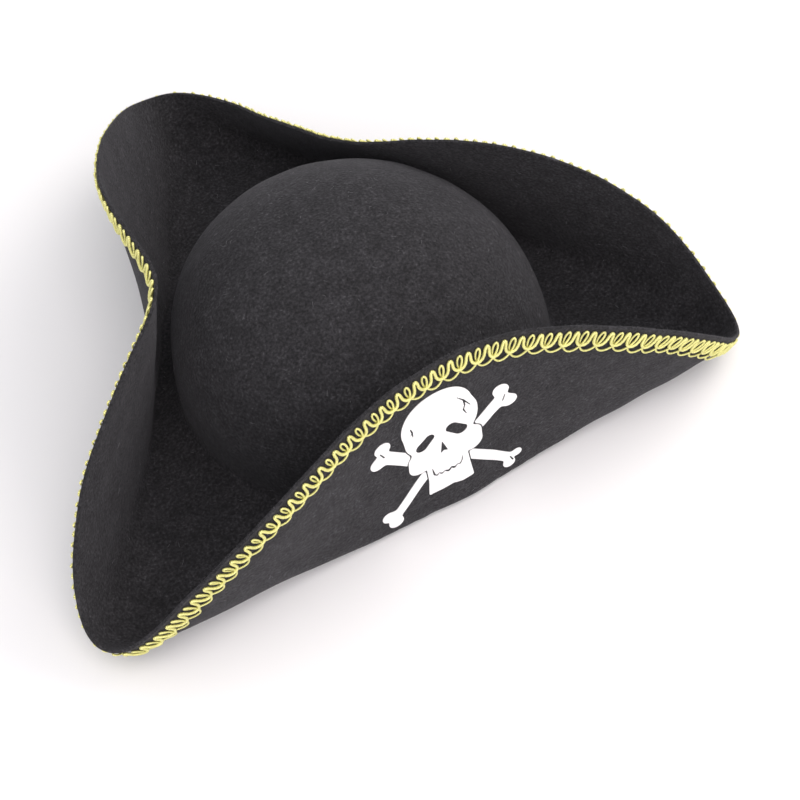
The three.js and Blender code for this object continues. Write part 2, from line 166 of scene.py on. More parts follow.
def unit(vectors):
    return vectors / np.maximum(lengths(vectors), 1e-9)


def felt_lines(angles):
    """Middle lines of the felt as [station, row, (radius, height)], crown top to cut edge."""
    height = bpy.context.scene.hat_felt.crown_height / MM
    fold, rim, lift, spout = brim_at(angles)
    join_rise = math.asin((JOIN_ROUND / height) ** (CROWN_RISE_POWER / 2))
    join = np.stack([opening_radius(angles), np.full_like(angles, JOIN_HEIGHT)], -1)
    fold_point = np.stack([fold, np.zeros_like(fold)], -1)
    edge = np.stack([rim, lift], -1)
    floor, cock = lengths(fold_point - join), lengths(edge - fold_point)
    join_length = np.minimum(JOIN_ROUND, JOIN_SHARE * floor)
    join_end = join + (fold_point - join) / floor * join_length
    wall = crown_point(angles, join_rise)
    rows = []
    for i in range(CROWN_ROWS):
        rise = join_rise + (math.pi / 2 - join_rise) * (1 - i / CROWN_ROWS)
        rows.append(crown_point(angles, rise))
    rows += [bend(wall, join, join_end, i / JOIN_ROWS) for i in range(JOIN_ROWS)]
    rounding = FOLD_ROUND + CORNER_ROUND * spout[:, None]
    rounding = np.minimum(rounding, ROUND_SHARE * np.minimum(floor - join_length, cock))
    start = fold_point + (join - fold_point) * rounding / floor
    end = fold_point + (edge - fold_point) * rounding / cock
    line = [join_end]
    line += [bend(start, fold_point, end, i / BEND_STEPS) for i in range(BEND_STEPS + 1)]
    line = np.stack(line + [edge], 1)
    run = np.cumsum(lengths(np.diff(line, axis=1))[..., 0], 1)
    run = np.concatenate([np.zeros((len(run), 1)), run], 1)
    share = np.linspace(0, 1, BRIM_ROWS)
    brim = [
        [np.interp(share * r[-1], r, points[:, axis]) for axis in (0, 1)]
        for r, points in zip(run, line)
    ]
    return np.concatenate([np.stack(rows, 1), np.moveaxis(np.array(brim), 1, 2)], 1)


def station_angles():
    """Directions of the stations, closer together where the rim runs far out."""
    fine = np.linspace(0, 2 * np.pi, FINE_TURN)
    _, rim, height, _ = brim_at(fine)
    edge = np.stack([rim * np.cos(fine), rim * np.sin(fine), height], -1)
    run = np.concatenate([[0], np.cumsum(lengths(np.diff(edge, axis=0))[:, 0])])
    blend = (fine / fine[-1] + run / run[-1]) / 2
    return np.interp(np.arange(STATIONS) / STATIONS, blend, fine)


def uneven(points, size, seed):
    """Smooth unevenness from about -1 to 1, with swells of that size in millimetres."""
    rng = np.random.default_rng(seed)
    total = 0
    for _ in range(WAVES):
        direction = unit(rng.normal(size=3))
        pace = 2 * np.pi / (size * rng.uniform(0.7, 1.6))
        total = total + np.sin(points @ direction * pace + rng.uniform(0, 2 * np.pi))
    return total / math.sqrt(WAVES)


class FeltShell:
    """Middle surface of the felt as [station, row] points and normals.

    A normal points out of the crown and into the turned-up brim."""

    def __init__(self):
        angles = station_angles()
        lines = felt_lines(angles)
        turn = angles[:, None]
        radius, height = lines[..., 0], lines[..., 1]
        self.middle = np.stack([radius * np.cos(turn), radius * np.sin(turn), height], -1)
        self.normal = self.find_normals()
        swell = bpy.context.scene.hat_felt.unevenness / MM
        long_swells = uneven(self.middle, LONG_SWELL, 3)
        short_swells = uneven(self.middle, SHORT_SWELL, 4)
        lift = swell * (long_swells + 0.5 * short_swells)
        self.middle = self.middle + self.normal * lift[..., None]
        self.normal = self.find_normals()
        self.half = bpy.context.scene.hat_felt.thickness / MM / 2

    def find_normals(self):
        p = self.middle
        around = np.roll(p, -1, 0) - np.roll(p, 1, 0)
        down = np.empty_like(p)
        down[:, 1:-1] = p[:, 2:] - p[:, :-2]
        down[:, 0] = p[:, 1] - p[:, 0]
        down[:, -1] = p[:, -1] - p[:, -2]
        normal = unit(np.cross(down, around))
        normal[:, 0] = (0, 0, 1)
        return normal

    def face(self, distance):
        """Grid of points at a distance from the middle of the felt."""
        return self.middle + self.normal * distance

    def outer_tree(self):
        """Search tree of the face that is outside the turned-up brim."""
        grid = self.face(-self.half)[:, CROWN_ROWS:]
        n, m = grid.shape[:2]
        return BVHTree.FromPolygons(grid.reshape(-1, 3).tolist(), grid_faces(n, m, True).tolist())


def grid_faces(n, m, closed, start=0):
    """Quads of an [n, m] grid of points, joined round if closed."""
    i = np.arange(n if closed else n - 1)[:, None]
    j = np.arange(m - 1)[None, :]
    k = (i + 1) % n
    corners = [i * m + j, i * m + j + 1, k * m + j + 1, k * m + j]
    return np.stack(corners, -1).reshape(-1, 4) + start


def tube(points, out, radius, sides, closed, lobes=0, twist=1.0, depth=0.0):
    """Points, quads and corner UVs of a cord along points; out is a direction off its side.

    U is the distance along it and V the turn round it. Lobes that wind round it at the given
    twist length stand for the strands it is laid from."""
    if closed:
        ahead = unit(np.roll(points, -1, 0) - np.roll(points, 1, 0))
    else:
        ahead = unit(np.gradient(points, axis=0))
    out = unit(out - ahead * np.sum(out * ahead, -1, keepdims=True))
    side = np.cross(ahead, out)
    step = lengths(np.diff(points, axis=0, append=points[:1]))[:, 0]
    run = np.concatenate([[0], np.cumsum(step)])
    whole = max(round(run[-1] / twist), 1) / run[-1]
    turn = np.arange(sides) / sides
    n = len(points)
    wave = lobes * 2 * np.pi * (turn[None, :] + run[:n, None] * whole / max(lobes, 1))
    r = radius * (1 + depth * np.cos(wave)) if lobes else np.full((n, sides), radius)
    ring = np.cos(2 * np.pi * turn)[None, :, None] * out[:, None]
    ring = ring + np.sin(2 * np.pi * turn)[None, :, None] * side[:, None]
    verts = (points[:, None] + ring * r[..., None]).reshape(-1, 3)
    i = np.arange(n if closed else n - 1)[:, None]
    j = np.arange(sides)[None, :]
    k, l = (i + 1) % n, (j + 1) % sides
    faces = np.stack([i * sides + j, i * sides + l, k * sides + l, k * sides + j], -1)
    along, round_ = run[i] + 0 * j, turn[j] + 0 * i
    ahead_u, ahead_v = run[i + 1] + 0 * j, (turn[j] + 1 / sides) + 0 * i
    uv = np.stack([along, round_, along, ahead_v, ahead_u, ahead_v, ahead_u, round_], -1)
    return verts, faces.reshape(-1, 4), uv.reshape(-1, 2)


def volume(verts, faces):
    a, b, c, d = (verts[faces[:, k]] for k in range(4))
    return np.sum(a * np.cross(b, c)) + np.sum(a * np.cross(c, d))


def make_piece(name, verts, faces, material, replaced=(), uv=None, sharp=None):
    """A smooth mesh piece from millimetres, riding on the hat."""
    faces = [list(map(int, f)) for f in faces]
    mesh = bpy.data.meshes.new(name)
    mesh.from_pydata(((np.asarray(verts) + CROWN_AXIS) * MM).tolist(), [], faces)
    mesh.polygons.foreach_set("use_smooth", [True] * len(mesh.polygons))
    if uv is not None:
        layer = mesh.uv_layers.new(name="cord")
        layer.data.foreach_set("uv", np.asarray(uv, np.float32).ravel())
    if sharp is not None:
        mesh.set_sharp_from_angle(angle=math.radians(sharp))
    mesh.materials.append(material)
    mesh.update()
    piece = bpy.data.objects.new(name, mesh)
    bpy.context.scene.collection.objects.link(piece)
    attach(piece, "root")
    if replaced:
        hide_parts(*replaced)
    return piece


# ---- materials ----
TUFT = 1.43  # the felt's tufts of pressed fibre, across, in millimetres
CLOUD = 8.33  # its paler and darker clouds
STREAK = 2.38  # its stray fibres lying flat, along
GILT_PATCH = 3.85  # patches of more and less worn gilt
RIB = 1.0  # from rib to rib of the ribbon
WARP = 0.35  # from warp thread to warp thread
PLY_TURN = 0.8  # one turn of the sewing thread's plies
FIBRE_MOTTLE = 1.11  # paler and darker stretches of a loose fibre
PAPER_CLOUD = 333  # slow changes of tone in the backdrop paper


def linear(code):
    """Linear colour of an sRGB hex value."""
    channels = [int(code[k : k + 2], 16) / 255 for k in (1, 3, 5)]
    return [c / 12.92 if c <= 0.04045 else ((c + 0.055) / 1.055) ** 2.4 for c in channels] + [1]


def add(tree, kind, settings=None, links=None):
    """One node, with its settings by property or socket, and its inputs linked."""
    node = tree.nodes.new(kind)
    for key, value in (settings or {}).items():
        if isinstance(key, str) and hasattr(node, key):
            setattr(node, key, value)
        else:
            node.inputs[key].default_value = value
    for key, socket in (links or {}).items():
        tree.links.new(socket, node.inputs[key])
    return node


def new_material(name, sockets):
    """A material, its nodes and its shader, whose plain values are set."""
    material = bpy.data.materials.new(name)
    material.use_nodes = True
    tree = material.node_tree
    tree.nodes.clear()
    shader = add(tree, "ShaderNodeBsdfPrincipled", sockets)
    add(tree, "ShaderNodeOutputMaterial", {}, {"Surface": shader.outputs[0]})
    return material, tree, shader


def set_ramp(node, base, stops):
    """Stops as (position, share of the base colour) on a colour ramp."""
    elements = node.color_ramp.elements
    while len(elements) < len(stops):
        elements.new(0.5)
    for element, (position, share) in zip(elements, stops):
        element.position = position
        element.color = [*np.minimum(np.array(base[:3]) * share, 1), 1]


def dress(tree, shader, colour, bump):
    """Gives the shader its colour and its bump."""
    tree.links.new(colour.outputs["Color"], shader.inputs["Base Color"])
    tree.links.new(bump.outputs["Normal"], shader.inputs["Normal"])


def pace(size):
    """Texture scale of a pattern of that size in millimetres."""
    return 1 / (size * MM)


def winding(tree, spacing, strands):
    """A ridge that winds round a cord: 0 in its grooves, 1 on its crests."""
    uv = add(tree, "ShaderNodeUVMap", {"uv_map": "cord"})
    split = add(tree, "ShaderNodeSeparateXYZ", {}, {"Vector": uv.outputs[0]})
    settings = {"operation": "MULTIPLY_ADD", 1: 1 / spacing}
    turns = add(tree, "ShaderNodeMath", settings, {0: split.outputs["X"], 2: split.outputs["Y"]})
    settings = {"operation": "MULTIPLY", 1: 2 * math.pi * strands}
    phase = add(tree, "ShaderNodeMath", settings, {0: turns.outputs[0]})
    wave = add(tree, "ShaderNodeMath", {"operation": "SINE"}, {0: phase.outputs[0]})
    return add(tree, "ShaderNodeMapRange", {"From Min": -1, "From Max": 1}, {"Value": wave.outputs[0]})


def black_felt():
    """Moulded wool-type felt: short fibres pressed flat, so a matt black with fine mottling,
    a soft pile that catches light at grazing angles, and paler fibre tips."""
    sockets = {
        "Roughness": 0.95,
        "IOR": 1.45,
        "Specular IOR Level": 0.25,
        "Sheen Weight": 0.15,
        "Sheen Roughness": 0.45,
        "Sheen Tint": linear("#b9b7bd"),
    }
    material, tree, shader = new_material("Black moulded felt", sockets)
    place = add(tree, "ShaderNodeTexCoord").outputs["Object"]
    settings = {"Scale": pace(TUFT), "Detail": 5, "Roughness": 0.65}
    tufts = add(tree, "ShaderNodeTexNoise", settings, {"Vector": place})
    settings = {"Scale": pace(CLOUD), "Detail": 3, "Roughness": 0.6}
    clouds = add(tree, "ShaderNodeTexNoise", settings, {"Vector": place})
    settings = {"From Min": 0.3, "From Max": 0.72}
    tint = add(tree, "ShaderNodeMapRange", settings, {"Value": tufts.outputs["Fac"]})
    settings = {"From Min": 0.35, "From Max": 0.7, "To Min": -0.12, "To Max": 0.12}
    cloud = add(tree, "ShaderNodeMapRange", settings, {"Value": clouds.outputs["Fac"]})
    settings = {"operation": "ADD", "use_clamp": True}
    mixed = add(tree, "ShaderNodeMath", settings, {0: tint.outputs[0], 1: cloud.outputs[0]})
    colour = add(tree, "ShaderNodeValToRGB", {}, {"Fac": mixed.outputs[0]})
    base = bpy.context.scene.hat_felt.colour
    set_ramp(colour, base, [(0.0, 0.4), (0.45, 0.95), (0.78, 1.65), (1.0, 3.0)])
    # stray fibres lie flat between the tufts
    settings = {"Scale": pace(STREAK), "Detail": 2, "Distortion": 1.5}
    streaks = add(tree, "ShaderNodeTexNoise", settings, {"Vector": place})
    settings = {"operation": "MULTIPLY_ADD", 1: 0.6}
    links = {0: streaks.outputs["Fac"], 2: tufts.outputs["Fac"]}
    height = add(tree, "ShaderNodeMath", settings, links)
    settings = {"Strength": 0.75, "Distance": 0.0008}
    bump = add(tree, "ShaderNodeBump", settings, {"Height": height.outputs[0]})
    dress(tree, shader, colour, bump)
    return material


def gold_cord(name, wrap):
    """Gilt film wound round a cotton core: bright yellow metal, the turns wrap millimetres apart,
    with painted shade in the grooves between them and a painted highlight on their crests."""
    material, tree, shader = new_material(name, {"Metallic": 0.5, "Roughness": 0.42})
    ridge = winding(tree, wrap, 1)
    place = add(tree, "ShaderNodeTexCoord").outputs["Object"]
    settings = {"Scale": pace(GILT_PATCH), "Detail": 3}
    patches = add(tree, "ShaderNodeTexNoise", settings, {"Vector": place})
    # worn gilt patches, plus the winding ridge that paints shade into the grooves and a highlight on
    # the crests
    settings = {"operation": "MULTIPLY_ADD", 1: 0.5}
    links = {0: patches.outputs["Fac"], 2: ridge.outputs[0]}
    wear_and_groove_shade = add(tree, "ShaderNodeMath", settings, links)
    colour = add(tree, "ShaderNodeValToRGB", {}, {"Fac": wear_and_groove_shade.outputs[0]})
    # darker in the grooves and paler on the crests: painted shade and painted highlight over the
    # gilt's own colour
    grooves, sides = np.array((0.35, 0.33, 0.2)), np.array((0.85, 0.85, 0.75))
    base = bpy.context.scene.hat_braid.colour
    set_ramp(colour, base, [(0.15, grooves), (0.5, sides), (1.0, 1.15)])
    settings = {"Strength": 0.7, "Distance": 0.00012}
    bump = add(tree, "ShaderNodeBump", settings, {"Height": ridge.outputs[0]})
    dress(tree, shader, colour, bump)
    return material


def white_film():
    """Heat-pressed polyurethane film: matt white, with the felt's grain showing through."""
    sockets = {"Roughness": 0.6, "IOR": 1.5}
    material, tree, shader = new_material("White heat-pressed film", sockets)
    place = add(tree, "ShaderNodeTexCoord").outputs["Object"]
    settings = {"Scale": pace(TUFT), "Detail": 4, "Roughness": 0.6}
    grain = add(tree, "ShaderNodeTexNoise", settings, {"Vector": place})
    colour = add(tree, "ShaderNodeValToRGB", {}, {"Fac": grain.outputs["Fac"]})
    set_ramp(colour, bpy.context.scene.hat_emblem.colour, [(0.3, 0.9), (0.55, 1)])
    settings = {"Strength": 0.25, "Distance": 0.0003}
    bump = add(tree, "ShaderNodeBump", settings, {"Height": grain.outputs["Fac"]})
    dress(tree, shader, colour, bump)
    return material


def black_grosgrain():
    """Woven polyester ribbon: crosswise ribs with a faint gloss, and fine warp threads."""
    sockets = {"Roughness": 0.55, "IOR": 1.5, "Sheen Weight": 0.15}
    material, tree, shader = new_material("Black grosgrain ribbon", sockets)
    uv = add(tree, "ShaderNodeUVMap", {"uv_map": "cord"})
    split = add(tree, "ShaderNodeSeparateXYZ", {}, {"Vector": uv.outputs[0]})
    waves = []
    for axis, spacing in (("X", RIB), ("Y", WARP)):
        settings = {"operation": "MULTIPLY", 1: 2 * math.pi / spacing}
        phase = add(tree, "ShaderNodeMath", settings, {0: split.outputs[axis]})
        waves.append(add(tree, "ShaderNodeMath", {"operation": "SINE"}, {0: phase.outputs[0]}))
    settings = {"operation": "MULTIPLY_ADD", 1: 0.3}
    links = {0: waves[1].outputs[0], 2: waves[0].outputs[0]}
    weave = add(tree, "ShaderNodeMath", settings, links)
    settings = {"From Min": -1.3, "From Max": 1.3}
    ridge = add(tree, "ShaderNodeMapRange", settings, {"Value": weave.outputs[0]})
    # the ramp paints shade into the hollows of the weave and a highlight on its ribs
    colour = add(tree, "ShaderNodeValToRGB", {}, {"Fac": ridge.outputs[0]})
    set_ramp(colour, bpy.context.scene.hat_band.colour, [(0.0, 0.5), (1.0, 1.5)])
    settings = {"Strength": 0.8, "Distance": 0.0003}
    bump = add(tree, "ShaderNodeBump", settings, {"Height": ridge.outputs[0]})
    dress(tree, shader, colour, bump)
    return material


def sewing_thread():
    """Spun polyester thread: black, matt, with its two plies winding round each other."""
    sockets = {"Roughness": 0.75, "IOR": 1.5}
    material, tree, shader = new_material("Black spun polyester thread", sockets)
    ridge = winding(tree, PLY_TURN, 2)
    # the ramp paints shade into the grooves between the plies and a highlight on their crests
    colour = add(tree, "ShaderNodeValToRGB", {}, {"Fac": ridge.outputs[0]})
    set_ramp(colour, bpy.context.scene.hat_thread.colour, [(0.0, 0.5), (1.0, 1.4)])
    settings = {"Strength": 0.6, "Distance": 0.0001}
    bump = add(tree, "ShaderNodeBump", settings, {"Height": ridge.outputs[0]})
    dress(tree, shader, colour, bump)
    return material


def loose_fibre(name, code):
    """Single wool-type fibres: dull, softly lit from behind, mottled along their length."""
    material, tree, shader = new_material(name, {"Roughness": 0.8, "Sheen Weight": 0.3})
    place = add(tree, "ShaderNodeTexCoord").outputs["Object"]
    settings = {"Scale": pace(FIBRE_MOTTLE), "Detail": 2}
    mottle = add(tree, "ShaderNodeTexNoise", settings, {"Vector": place})
    colour = add(tree, "ShaderNodeValToRGB", {}, {"Fac": mottle.outputs["Fac"]})
    set_ramp(colour, linear(code), [(0.3, 0.6), (0.7, 1)])
    tree.links.new(colour.outputs["Color"], shader.inputs["Base Color"])
    return material


def floor_paper():
    """Smooth white backdrop paper: matt, with an almost even tone."""
    sockets = {"Roughness": 0.9, "Specular IOR Level": 0.1}
    material, tree, shader = new_material("White backdrop paper", sockets)
    place = add(tree, "ShaderNodeTexCoord").outputs["Object"]
    settings = {"Scale": pace(PAPER_CLOUD), "Detail": 2}
    tone = add(tree, "ShaderNodeTexNoise", settings, {"Vector": place})
    colour = add(tree, "ShaderNodeValToRGB", {}, {"Fac": tone.outputs["Fac"]})
    set_ramp(colour, bpy.context.scene.hat_stage.floor_colour, [(0.3, 0.99), (0.7, 1)])
    tree.links.new(colour.outputs["Color"], shader.inputs["Base Color"])
    return material


# ---- settings ----
def measure(name, description, default, **limits):
    """A length that a user can change, in metres."""
    return FloatProperty(
        name=name,
        description=description,
        default=default,
        subtype="DISTANCE",
        unit="LENGTH",
        **limits,
    )


def bearing(name, description, degrees):
    """An angle that a user can change."""
    return FloatProperty(
        name=name,
        description=description,
        default=math.radians(degrees),
        subtype="ANGLE",
        unit="ROTATION",
    )


def tone(name, description, code):
    """A colour that a user can change."""
    return FloatVectorProperty(
        name=name,
        description=description,
        default=linear(code),
        subtype="COLOR",
        size=4,
    )


class HatFeltSettings(bpy.types.PropertyGroup):
    thickness: measure("Felt thickness", "Thickness of the felt", 0.0016, min=0.001, max=0.005)
    crown_half_width: measure("Crown half width", "From its axis to its side, at its foot", 0.0967)
    crown_half_depth: measure("Crown half depth", "From its axis to its front, at its foot", 0.0949)
    crown_height: measure("Crown height", "Height above its join with the brim", 0.0993)
    brim_radius: measure("Brim radius", "Radius that the flat brim was cut to", 0.2087)
    unevenness: measure("Unevenness", "How far the felt swells off its true shape", 0.0004)
    colour: tone("Felt colour", "Colour of the felt", "#2b2a2c")


class HatBraidSettings(bpy.types.PropertyGroup):
    from_edge: measure("Bare edge", "Bare felt between braid and cut edge at the front", 0.0013)
    width: measure("Braid width", "Width of the scroll braid", 0.0145)
    pitch: measure("Repeat", "Length of one repeat of the scroll", 0.01)
    cord: measure("Cord thickness", "Thickness of the serpentine cord", 0.0016)
    fine_cord: measure("Fine cord thickness", "Thickness of the looped cord", 0.0011)
    colour: tone("Gilt colour", "Colour of the gilt film on the cords", "#efeb9c")


class HatEmblemSettings(bpy.types.PropertyGroup):
    film: measure("Film thickness", "Thickness of the white film", 0.00035)
    colour: tone("Film colour", "Colour of the film", "#f4f3f2")


class HatBandSettings(bpy.types.PropertyGroup):
    width: measure("Ribbon width", "Width of the sweatband ribbon", 0.030)
    thickness: measure("Ribbon thickness", "Thickness of the ribbon", 0.0006)
    lap: measure("Lap", "How far the ribbon's end laps over its start at the back", 0.012)
    colour: tone("Ribbon colour", "Colour of the ribbon", "#29282b")


class HatThreadSettings(bpy.types.PropertyGroup):
    thickness: measure("Thread thickness", "Thickness of the sewing thread", 0.0004)
    stitch: measure("Stitch length", "One side of the zigzag, along the seam", 0.0022)
    colour: tone("Thread colour", "Colour of the thread", "#2c2b2e")


class HatLintSettings(bpy.types.PropertyGroup):
    lint: IntProperty(
        name="Lint", description="Number of loose fibres lying on the felt", default=420, min=0
    )
    fuzz: IntProperty(
        name="Edge fuzz", description="Number of fibres out of the cut edge", default=5200, min=0
    )


class HatStageSettings(bpy.types.PropertyGroup):
    azimuth: bearing("Camera azimuth", "Direction the camera looks from, about the hat", -25.79)
    elevation: bearing("Camera elevation", "Height of the camera, as an angle", 54.85)
    roll: bearing("Camera roll", "Roll of the camera", -5.10)
    distance: measure("Camera distance", "From the camera to the point it aims at", 1.1663)
    lens: FloatProperty(
        name="Focal length",
        description="Focal length of the camera",
        default=106.05,
        subtype="DISTANCE_CAMERA",
        unit="CAMERA",
    )
    floor_colour: tone("Floor colour", "Colour of the backdrop paper", "#f3f2f2")


# ---- pieces ----
class HAT_OT_felt(bpy.types.Operator):
    """Makes the moulded felt body: crown, brim and three turned-up sides, with a cut edge"""

    bl_idname = "hat.felt"
    bl_label = "Felt body"

    def execute(self, context):
        shell = FeltShell()
        top, under = shell.face(shell.half)[:, 1:], shell.face(-shell.half)[:, 1:]
        out = unit(shell.middle[:, -1] - shell.middle[:, -2])
        edge = []
        for k in range(1, EDGE_ROWS + 1):  # a square cut with slightly worn corners
            turn = math.pi * k / (EDGE_ROWS + 1)
            up = shell.half * math.copysign(abs(math.cos(turn)) ** 0.5, math.cos(turn))
            bulge = out * EDGE_BULGE * math.sin(turn) ** 0.5
            edge.append(shell.middle[:, -1] + shell.normal[:, -1] * up + bulge)
        grid = np.concatenate([top, np.stack(edge, 1), under[:, ::-1]], 1)
        n, m = grid.shape[:2]
        crown_top = shell.middle[0, 0] + [0, 0, shell.half]
        crown_under = shell.middle[0, 0] - [0, 0, shell.half]
        verts = np.concatenate([grid.reshape(-1, 3), [crown_top, crown_under]])
        quads = grid_faces(n, m, True)
        ring = np.arange(n) * m
        after = np.roll(ring, -1)
        top_fan = np.stack([ring, after, np.full(n, n * m)], -1)
        under_fan = np.stack([after + m - 1, ring + m - 1, np.full(n, n * m + 1)], -1)
        faces = quads.tolist() + top_fan.tolist() + under_fan.tolist()
        if volume(verts, quads) < 0:
            faces = [face[::-1] for face in faces]
        make_piece("felt_hat_body", verts, faces, black_felt(), ["felt_body"])
        return {"FINISHED"}


class HAT_OT_braid(bpy.types.Operator):
    """Makes the gilt scroll braid: a serpentine cord over a looped cord, round the whole rim"""

    bl_idname = "hat.braid"
    bl_label = "Scroll braid"

    steps = 60  # points in one repeat
    past_edge = 1.9  # how much further out the braid is glued away from the front, in millimetres
    front_from = 60  # it changes over between these distances in front of the crown's axis
    front_to = 105
    peak_drop = 0.75  # the serpentine's peaks stand this far below the loops' tips
    valley_share = 0.61  # how much of the braid's depth the serpentine takes
    stray = 0.3  # how far the cords stray from an even pattern

    def place(self, shell, tree, run, down, off):
        """Points on the felt's outer face, by run along the edge, distance below it and
        height off the felt; and the directions off the felt there."""
        edge = shell.middle[:, -1] - shell.normal[:, -1] * shell.half
        outward = -shell.normal[:, -1]
        ahead = unit(np.roll(edge, -1, 0) - np.roll(edge, 1, 0))
        below = np.cross(ahead, outward)
        toward = shell.middle[:, -4] - shell.middle[:, -1]
        below *= np.sign(np.sum(below * toward, -1, keepdims=True))
        below = unit(below)
        step = lengths(np.diff(edge, axis=0, append=edge[:1]))[:, 0]
        station_run = np.concatenate([[0], np.cumsum(step)])
        run = run % station_run[-1]
        looped = [np.concatenate([a, a[:1]]) for a in (edge, below)]
        at = [
            np.stack([np.interp(run, station_run, line[:, k]) for k in range(3)], -1)
            for line in looped
        ]
        front = (-at[0][:, 1] - self.front_from) / (self.front_to - self.front_from)
        front = np.clip(front, 0, 1)
        down = down - self.past_edge * (1 - front * front * (3 - 2 * front))
        flat = at[0] + at[1] * down[:, None]
        points, outs = np.empty_like(flat), np.empty_like(flat)
        for k, p in enumerate(flat):
            found, normal, _, _ = tree.find_nearest(Vector(p))
            points[k], outs[k] = found, normal
        middle = np.sum(outs * unit(at[0] * (1, 1, 0)), -1)
        outs *= np.sign(np.median(middle))
        outs = unit(outs + np.roll(outs, 1, 0) + np.roll(outs, -1, 0))
        return points + outs * off[:, None], outs

    def execute(self, context):
        settings = context.scene.hat_braid
        shell = FeltShell()
        tree = shell.outer_tree()
        edge = shell.middle[:, -1] - shell.normal[:, -1] * shell.half
        whole = lengths(np.diff(edge, axis=0, append=edge[:1])).sum()
        repeats = round(whole / (settings.pitch / MM))
        pitch = whole / repeats
        cord, fine, width = (v / MM for v in (settings.cord, settings.fine_cord, settings.width))
        high = settings.from_edge / MM + fine / 2
        top = high + self.peak_drop
        low = settings.from_edge / MM + width - fine / 2
        t = np.arange(repeats * self.steps) / self.steps
        phase = 2 * np.pi * t
        place = np.stack([np.cos(phase / repeats), np.sin(phase / repeats), 0 * t], -1)
        place = place * whole / (2 * np.pi)
        sway = self.stray * uneven(place, 2.2 * pitch, 11)
        sag = self.stray * uneven(place, 1.7 * pitch, 12)
        # serpentine: narrow peaks with steep sides and wide valleys, over the loops
        run = pitch * (t + 0.05 * np.sin(2 * phase) - 0.12 * np.sin(phase)) + sway
        down = top + self.valley_share * (low - top) * (1 - np.cos(phase)) / 2 + sag * 0.5
        off = cord * (0.5 + 0.32 * (1 - np.cos(phase)))
        points, outs = self.place(shell, tree, run, down, off)
        verts, faces, uv = tube(points, outs, cord * 0.5, 10, True, 2, 1.9, 0.07)
        if volume(verts, faces) < 0:
            raise ValueError("the serpentine cord's faces point inwards")
        look = gold_cord("Gilt wound cord", 0.5)
        make_piece("braid_serpentine_cord", verts, faces, look, ["gold_braid"], uv)
        # loops: one tall narrow loop inside each valley, joined by arcs that hang below
        sway = sway + 0.12 * uneven(place, 1.1 * pitch, 13)
        run = pitch * (t + 0.32 * np.sin(phase)) + sway
        down = low - (low - high) * (1 - np.cos(phase)) / 2 + sag * (1 + np.cos(phase)) / 2
        off = fine * (0.5 + 0.4 * (1 + np.sin(phase)))
        points, outs = self.place(shell, tree, run, down, off)
        verts, faces, uv = tube(points, outs, fine * 0.5, 8, True, 2, 1.5, 0.07)
        look = gold_cord("Gilt wound fine cord", 0.45)
        make_piece("braid_looped_cord", verts, faces, look, (), uv)
        return {"FINISHED"}


# ---- emblem: plane figures in millimetres, y up, as signed distances, negative inside ----
EMBLEM_AT = (-1.3, 54.0)
EMBLEM_TILT = 5.5
FIGURE_STEP = 0.45
BONE_GAP = 0.7  # bare felt between the skull and the bones
FILM_SINK = 0.03  # the film's back stands this far off the felt
OUTSIDE = 260  # a place well in front of the hat
FIGURE_REACH = 12  # a bone's knobs stay within this distance of its shaft
LEAST_VALUE = 0.02 * FIGURE_STEP  # keeps the outline off the corners of the cells
# a shaft from start to end, two knobs as (x, y, radius), and the cut between them
Bone = namedtuple("Bone", "name start end half knobs dash")
BONES = (
    Bone(
        "bone_upper_left",
        (-18, 5),
        (-31.2, 20.6),
        4.1,
        ((-30.9, 27.8, 4.4), (-34.7, 18.2, 4.4)),
        ((-32.6, 24.8), (-30.9, 20.4)),
    ),
    Bone(
        "bone_upper_right",
        (18, 1),
        (34, 10.5),
        4.3,
        ((34.4, 17.4, 4.3), (37.6, 6.6, 4.3)),
        ((36.1, 13), (34.3, 8.7)),
    ),
    Bone(
        "bone_lower_right",
        (9.6, -14.5),
        (30.7, -38.8),
        3.1,
        ((36.2, -39, 2.8), (31.2, -44.6, 3.4)),
        ((32.3, -39.9), (33.5, -43.8)),
    ),
    Bone(
        "bone_lower_left",
        (-10.2, -11.8),
        (-31.8, -32.4),
        3.1,
        ((-36.4, -31.3, 3.9), (-33.6, -38.4, 4.1)),
        None,
    ),
)


def disc(x, y, at, radius):
    return np.hypot(x - at[0], y - at[1]) - radius


def taper(x, y, start, end, from_radius, to_radius):
    """A round-ended bar whose radius changes evenly along it."""
    dx, dy = end[0] - start[0], end[1] - start[1]
    share = np.clip(((x - start[0]) * dx + (y - start[1]) * dy) / (dx * dx + dy * dy), 0, 1)
    away = np.hypot(x - start[0] - share * dx, y - start[1] - share * dy)
    return away - (from_radius + (to_radius - from_radius) * share)


def polygon(x, y, corners):
    """Signed distance to a polygon given anticlockwise or clockwise."""
    away = np.full_like(x, 1e9)
    inside = np.zeros(x.shape, bool)
    for (ax, ay), (bx, by) in zip(corners, corners[1:] + corners[:1]):
        away = np.minimum(away, taper(x, y, (ax, ay), (bx, by), 0, 0))
        crosses = (ay > y) != (by > y)
        at = ax + (y - ay) / (by - ay if by != ay else 1e-9) * (bx - ax)
        inside ^= crosses & (x < at)
    return np.where(inside, -away, away)


def melt(a, b, size):
    """Union of two figures with the inner corners between them filled to that size."""
    h = np.clip(0.5 + 0.5 * (b - a) / size, 0, 1)
    return b + (a - b) * h - size * h * (1 - h)


def slit(x, y, points, widths):
    """A crack along points, with its half width at each."""
    away = np.full_like(x, 1e9)
    for a, b, wa, wb in zip(points, points[1:], widths, widths[1:]):
        away = np.minimum(away, taper(x, y, a, b, wa, wb))
    return away


